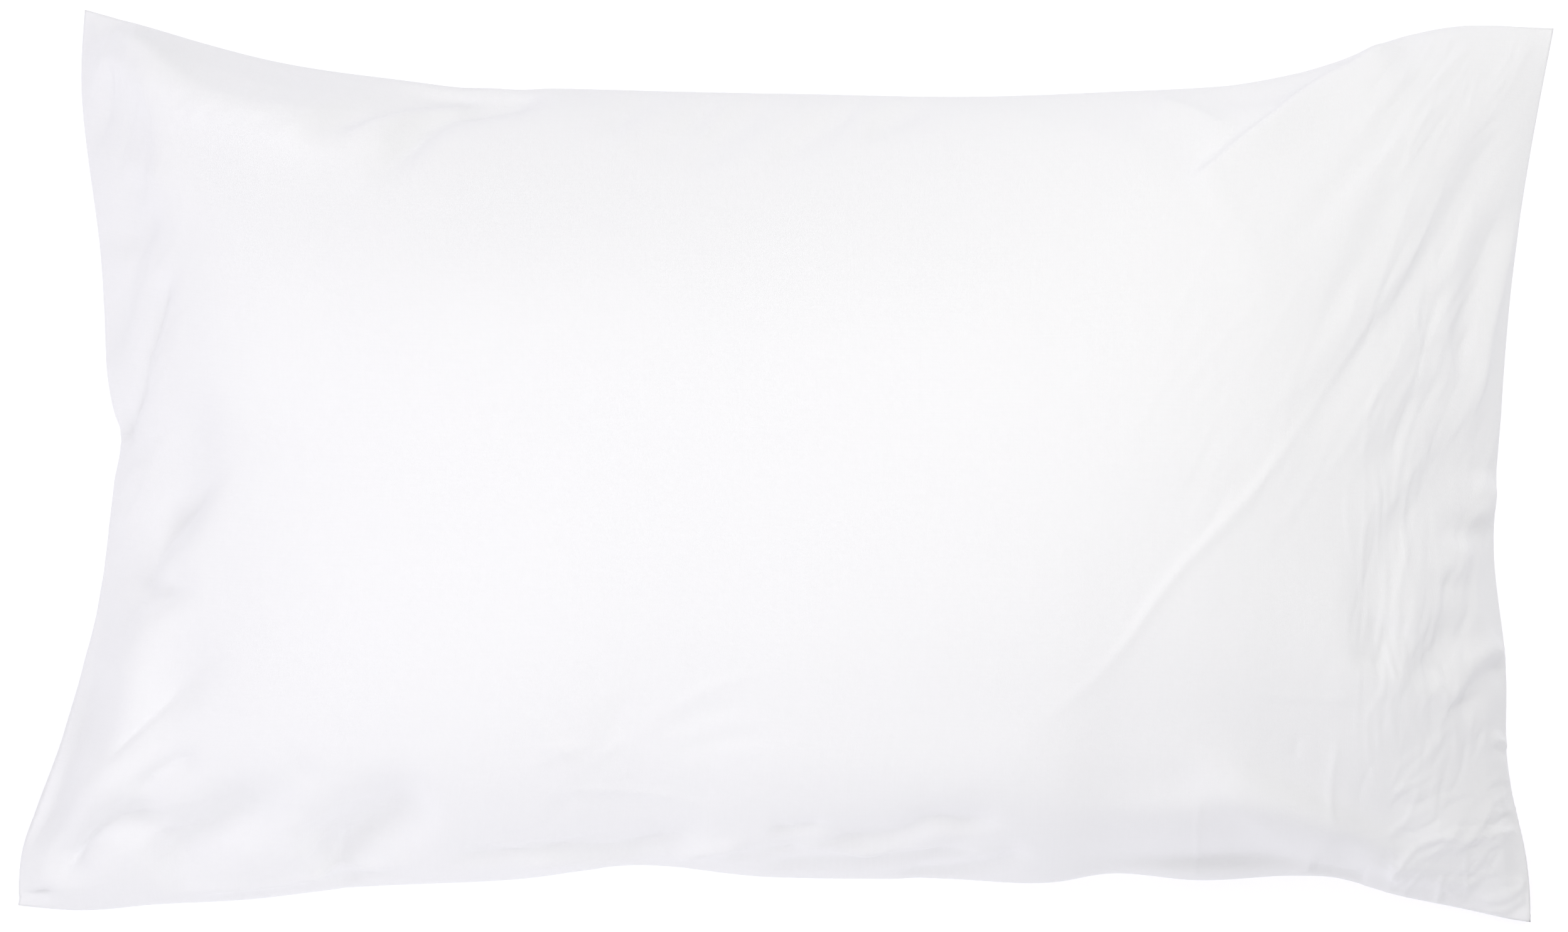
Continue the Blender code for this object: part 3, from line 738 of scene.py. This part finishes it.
def skin_mesh(front, back, nearness):
    """One closed mesh: the fine front, the coarser back, and the rim that joins them three cells to one."""
    front_index = np.arange(front[..., 0].size).reshape(front.shape[:2])
    back_index = front_index.size + np.arange(back[..., 0].size).reshape(back.shape[:2])
    faces = cells(front_index).tolist() + cells(back_index)[:, ::-1].tolist()
    outer = [int(front_index[spot]) for spot in border(front.shape[0] - 1, front.shape[1] - 1)]
    inner = [int(back_index[spot]) for spot in border(back.shape[0] - 1, back.shape[1] - 1)]
    rim = []
    for k, low in enumerate(inner):
        high = inner[(k + 1) % len(inner)]
        a, b, c, d = [outer[(BACK_STEP * k + s) % len(outer)] for s in range(BACK_STEP + 1)]
        rim += [[low, b, a], [low, high, c, b], [high, d, c]]
    points = np.concatenate([front.reshape(-1, 3), back.reshape(-1, 3)])
    mesh = bpy.data.meshes.new("cotton_skin")
    mesh.from_pydata(points.tolist(), [], faces + rim)
    mesh.update()
    mesh.shade_smooth()

    front_map = cloth_map(upper=0).reshape(-1, 2)
    back_map = cloth_map(upper=1)[::BACK_STEP, ::BACK_STEP].reshape(-1, 2)
    places = np.concatenate([front_map, back_map])
    rim_places = places.copy()
    edge_places = places[outer[::BACK_STEP]]
    rim_places[inner] = FRONT_MIDDLE + (edge_places - FRONT_MIDDLE) * (1 + RIM_MARGIN)
    skin_corners = [corner for face in faces for corner in face]
    rim_corners = [corner for face in rim for corner in face]
    corner_places = np.concatenate([places[skin_corners], rim_places[rim_corners]])
    mesh.uv_layers.new(name="cloth").data.foreach_set("uv", corner_places.astype(np.float32).ravel())
    near = np.concatenate([nearness.ravel(), nearness[::BACK_STEP, ::BACK_STEP].ravel()])
    attribute = mesh.attributes.new("seam_nearness", "FLOAT", "POINT")
    attribute.data.foreach_set("value", near.astype(np.float32))
    return mesh


def value_of(tree, operation, *values):
    """A maths node on numbers or other nodes' outputs; gives its output."""
    step = tree.nodes.new("ShaderNodeMath")
    step.operation = operation
    for socket, value in zip(step.inputs, values):
        if isinstance(value, (int, float)):
            socket.default_value = value
        else:
            tree.links.new(value, socket)
    return step.outputs["Value"]


def noise_of(tree, place, scale, detail, stretch=(1.0, 1.0, 1.0)):
    """Smooth noise from 0 to 1 at a place that is stretched first."""
    mapping = tree.nodes.new("ShaderNodeMapping")
    mapping.inputs["Scale"].default_value = [scale * s for s in stretch]
    tree.links.new(place, mapping.inputs["Vector"])
    noise = tree.nodes.new("ShaderNodeTexNoise")
    noise.inputs["Scale"].default_value = 1.0
    noise.inputs["Detail"].default_value = detail
    tree.links.new(mapping.outputs["Vector"], noise.inputs["Vector"])
    return noise.outputs["Fac"]


def percale():
    """White plain-woven cotton: weave, thicker threads, fine creases, seam puckers and a faint sheen."""
    material = bpy.data.materials.new("percale")
    material.use_nodes = True
    tree = material.node_tree
    shader = tree.nodes["Principled BSDF"]
    cloth = tree.nodes.new("ShaderNodeUVMap")
    cloth.uv_map = "cloth"
    place = cloth.outputs["UV"]
    parts = tree.nodes.new("ShaderNodeSeparateXYZ")
    tree.links.new(place, parts.inputs["Vector"])
    position = tree.nodes.new("ShaderNodeTexCoord").outputs["Object"]

    turn = math.pi / THREAD_PITCH
    warp = value_of(tree, "SINE", value_of(tree, "MULTIPLY", parts.outputs["X"], turn * CLOTH_LENGTH))
    weft = value_of(tree, "SINE", value_of(tree, "MULTIPLY", parts.outputs["Y"], turn * 2 * CLOTH_WIDTH))
    weave = value_of(tree, "MULTIPLY", warp, weft)

    length, width, slub_relief, detail = SLUB
    lengthwise = noise_of(tree, place, 1.0, detail, (CLOTH_LENGTH / length, 2 * CLOTH_WIDTH / width, 1.0))
    crosswise = noise_of(tree, place, 1.0, detail, (CLOTH_LENGTH / width, 2 * CLOTH_WIDTH / length, 1.0))
    slubs = value_of(tree, "ADD", lengthwise, crosswise)

    size, crease_relief, detail, stretch = FINE_CREASE
    creases = noise_of(tree, position, 1.0 / (size * MM), detail, stretch)
    creases = value_of(tree, "ABSOLUTE", value_of(tree, "SUBTRACT", creases, NOISE_MIDDLE))

    size, pucker_relief, detail = PUCKER
    near = tree.nodes.new("ShaderNodeAttribute")
    near.attribute_name = "seam_nearness"
    puckers = noise_of(tree, position, 1.0 / (size * MM), detail)
    puckers = value_of(tree, "MULTIPLY", puckers, near.outputs["Fac"])

    relief = value_of(tree, "MULTIPLY", weave, THREAD_RELIEF * MM)
    for part, height in [(slubs, slub_relief), (creases, crease_relief), (puckers, pucker_relief)]:
        relief = value_of(tree, "ADD", relief, value_of(tree, "MULTIPLY", part, height * MM))
    bump = tree.nodes.new("ShaderNodeBump")
    bump.inputs["Distance"].default_value = 1.0
    tree.links.new(relief, bump.inputs["Height"])
    tree.links.new(bump.outputs["Normal"], shader.inputs["Normal"])

    # The shade is the mean of three noises: the two of the slubs and the mottle.
    size, detail = MOTTLE
    mottle = noise_of(tree, position, 1.0 / (size * MM), detail)
    shade = value_of(tree, "MULTIPLY", value_of(tree, "ADD", slubs, mottle), 1 / 3)
    colour = tree.nodes.new("ShaderNodeMix")
    colour.data_type = "RGBA"
    colour.inputs["A"].default_value = (*COTTON_LIGHT, 1.0)
    colour.inputs["B"].default_value = (*COTTON_DARK, 1.0)
    tree.links.new(shade, colour.inputs["Factor"])
    tree.links.new(colour.outputs["Result"], shader.inputs["Base Color"])
    smooth, rough = COTTON_ROUGHNESS
    roughness = value_of(tree, "ADD", value_of(tree, "MULTIPLY", shade, rough - smooth), smooth)
    tree.links.new(roughness, shader.inputs["Roughness"])
    shader.inputs["Sheen Weight"].default_value = COTTON_SHEEN
    shader.inputs["Sheen Roughness"].default_value = SHEEN_ROUGHNESS
    return material


def pale_floor():
    """A pale floor with a glow of its own, so that it shows as a plain white ground."""
    bpy.ops.mesh.primitive_plane_add(size=FLOOR_SIZE, location=(0.0, 0.0, -FLOOR_GAP))
    floor = bpy.context.object
    floor.name = "floor"
    material = bpy.data.materials.new("floor")
    material.use_nodes = True
    shader = material.node_tree.nodes["Principled BSDF"]
    shader.inputs["Base Color"].default_value = (*FLOOR_COLOUR, 1.0)
    shader.inputs["Roughness"].default_value = 1.0
    shader.inputs["Emission Color"].default_value = (*FLOOR_GLOW_COLOUR, 1.0)
    shader.inputs["Emission Strength"].default_value = FLOOR_GLOW
    floor.data.materials.append(material)


def photo_camera(shift):
    """The camera looks straight down on the front, as the photo does."""
    data = bpy.data.cameras.new("camera")
    data.sensor_width = SENSOR_WIDTH
    data.lens = SENSOR_WIDTH * (CAMERA_HEIGHT - SEAM_PLANE) / FRAME_WIDTH
    camera = bpy.data.objects.new("camera", data)
    camera.location = (-shift[0] * MM, -shift[1] * MM, CAMERA_HEIGHT * MM)
    bpy.context.scene.collection.objects.link(camera)
    bpy.context.scene.camera = camera


def surround():
    """A cool, even light from all round, weaker on two sides."""
    world = bpy.data.worlds.new("surround")
    world.use_nodes = True
    tree = world.node_tree
    background = tree.nodes["Background"]
    background.inputs["Color"].default_value = (*SURROUND_COLOUR, 1.0)
    direction = tree.nodes.new("ShaderNodeTexCoord").outputs["Generated"]
    strength = SURROUND_STRENGTH
    for side, share, narrowness in DARK_SIDES:
        towards = tree.nodes.new("ShaderNodeVectorMath")
        towards.operation = "DOT_PRODUCT"
        towards.inputs[1].default_value = side
        tree.links.new(direction, towards.inputs[0])
        dark = value_of(tree, "MAXIMUM", towards.outputs["Value"], 0.0)
        dark = value_of(tree, "POWER", dark, narrowness)
        kept = value_of(tree, "MULTIPLY_ADD", dark, -share, 1.0)
        strength = value_of(tree, "MULTIPLY", kept, strength)
    tree.links.new(strength, background.inputs["Strength"])
    bpy.context.scene.world = world


def softboxes():
    """Five large soft lamps, aimed at the middle of the case: warm from the right, cool from the left."""
    for name, place, size, watts, colour in SOFTBOXES:
        data = bpy.data.lights.new(name, "AREA")
        data.shape = "DISK"
        data.size = size
        data.energy = watts
        data.color = colour
        softbox = bpy.data.objects.new(name, data)
        softbox.location = place
        softbox.rotation_euler = (-Vector(place)).to_track_quat("-Z", "Y").to_euler()
        bpy.context.scene.collection.objects.link(softbox)


front, back = skins()
shift = centre_shift()
nearness = np.exp(-((seam_distance(front[..., 0], front[..., 1]) / PUCKER_REACH) ** 2))
mesh = skin_mesh((front - shift) * MM, (back - shift)[::BACK_STEP, ::BACK_STEP] * MM, nearness)
skin = bpy.data.objects.new("cotton_skin", mesh)
bpy.context.scene.collection.objects.link(skin)
mesh.materials.append(percale())

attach(skin, "root")
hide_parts("pillowcase")

pale_floor()
photo_camera(shift)
surround()
softboxes()
bpy.context.scene.view_settings.view_transform = "Standard"
